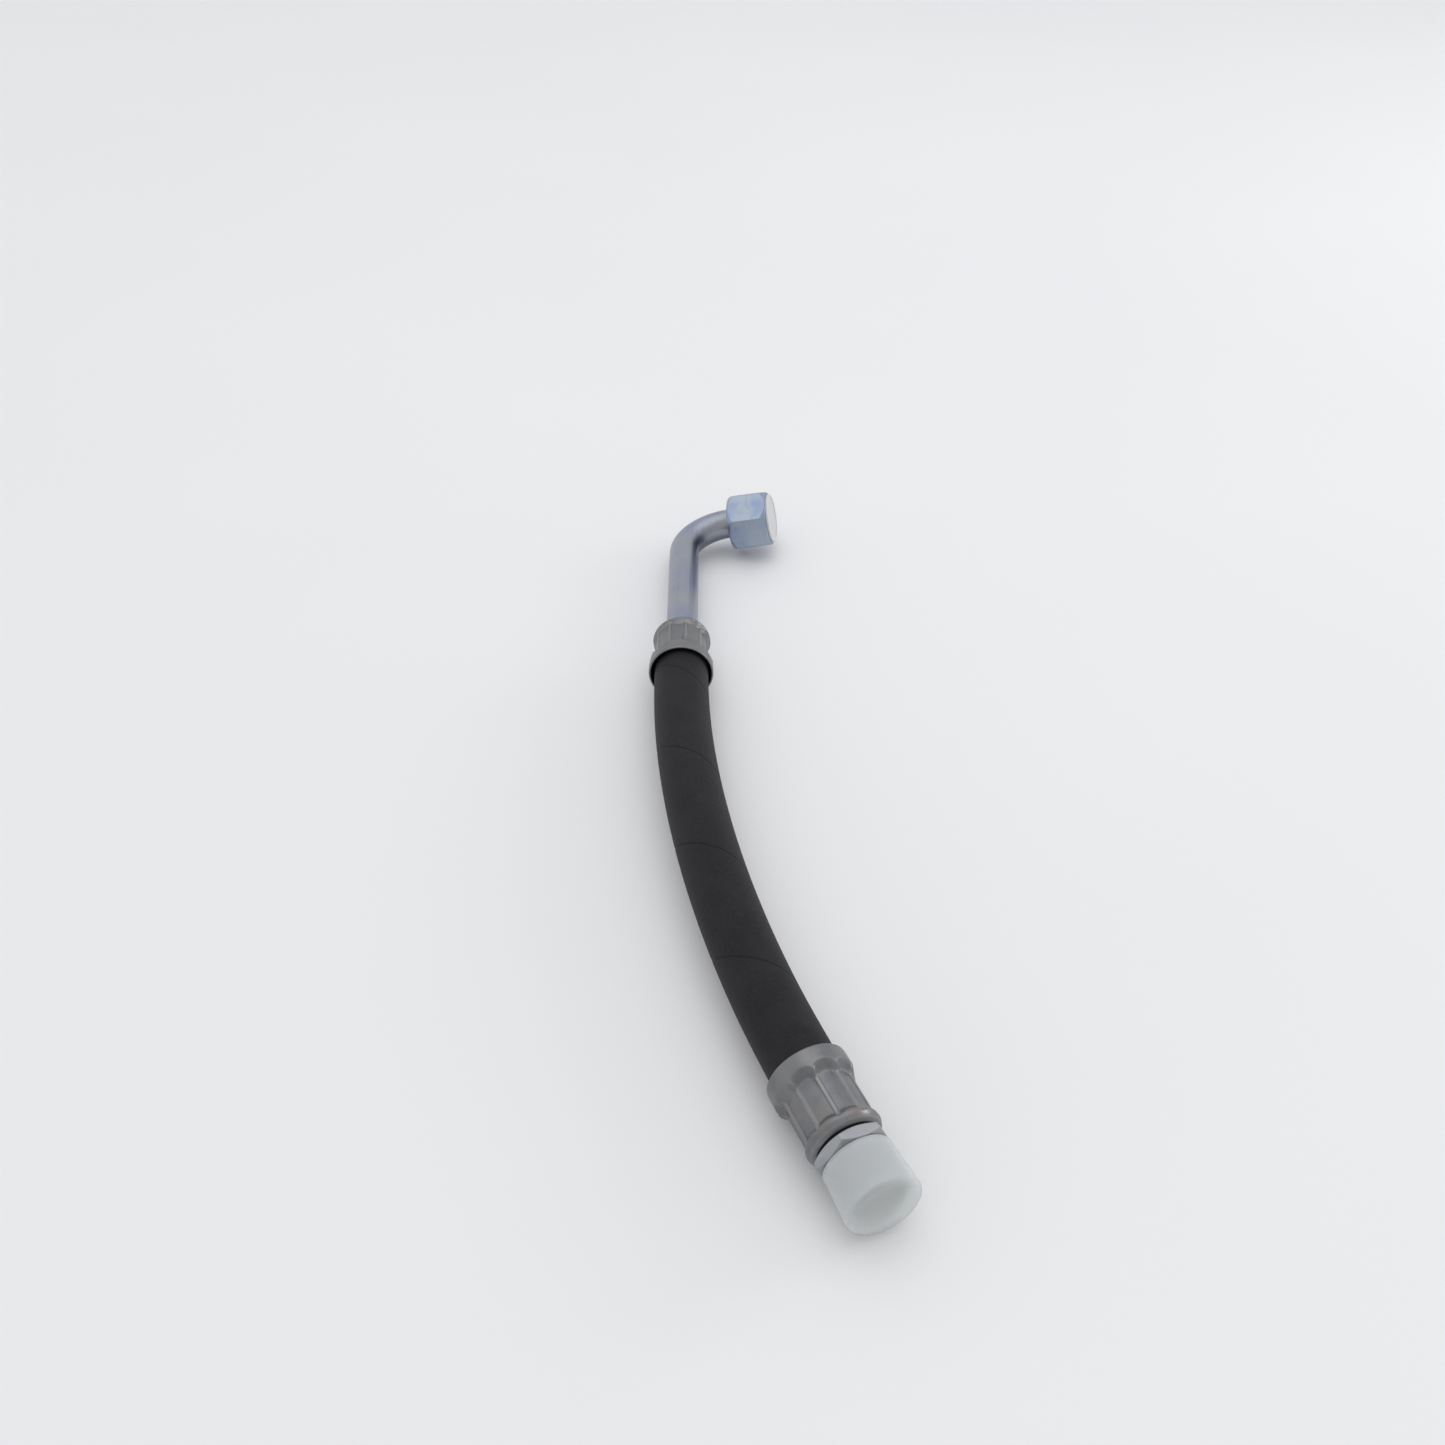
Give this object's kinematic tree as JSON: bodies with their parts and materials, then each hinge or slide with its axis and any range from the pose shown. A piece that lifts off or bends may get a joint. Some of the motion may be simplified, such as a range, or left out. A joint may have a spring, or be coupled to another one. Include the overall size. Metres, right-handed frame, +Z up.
{
  "type": "hydraulic hose assembly",
  "caption": "Short two-wire hydraulic hose with a crimped straight male stud on one end and a crimped bent tube with swivel nut on the other, both capped.",
  "frame": {"origin": "middle of the male stud's open end, on the stud's axis", "axes": "+Y runs along the stud's axis from its open end into the hose, +Z is up as the assembly lies on a flat surface, and the hose then turns towards +X"},
  "size_m": [0.1292, 0.3194, 0.0278],
  "materials": {
    "hose_rubber": "matte black rubber cover with a faint wrap pattern",
    "liner_rubber": "smooth black inner rubber",
    "braid_wire": "braided high-tensile steel wire",
    "ferrule_zinc": "zinc-plated steel, dull grey after crimping",
    "tube_zinc": "zinc-plated steel with a blue passivation",
    "nut_zinc": "bright zinc-plated steel with a blue passivation",
    "stud_steel": "satin zinc-plated steel",
    "seal_rubber": "black nitrile rubber",
    "white_plastic": "white moulded polyethylene",
    "milky_plastic": "milky see-through polyethylene"
  },
  "bodies": {
    "hose_assembly": {"hose_liner": "liner_rubber", "hose_inner_braid": "braid_wire", "hose_mid_layer": "liner_rubber", "hose_outer_braid": "braid_wire", "hose_cover": "hose_rubber", "stud_ferrule": "ferrule_zinc", "stud_fitting": "stud_steel", "elbow_ferrule": "ferrule_zinc", "elbow_insert": "stud_steel", "elbow_tube": "tube_zinc", "cone_head": "nut_zinc", "cone_o_ring": "seal_rubber"},
    "nut": {"swivel_nut": "nut_zinc"},
    "plug": {"nut_plug": "white_plastic"},
    "cap": {"thread_cap": "milky_plastic"}
  },
  "joints": [
    {"name": "nut_spin", "type": "hinge", "parent": "hose_assembly", "child": "nut", "pos_m": [0.09949, 0.30535, 0.00115], "axis": [0.8374, -0.5005, 0.2197], "continuous": true},
    {"name": "plug_pull", "type": "slide", "parent": "nut", "child": "plug", "axis": [0.8374, -0.5005, 0.2197], "range_m": [0, 0.012]},
    {"name": "cap_pull", "type": "slide", "parent": "hose_assembly", "child": "cap", "axis": [0, -1, 0], "range_m": [0, 0.03]}
  ]
}
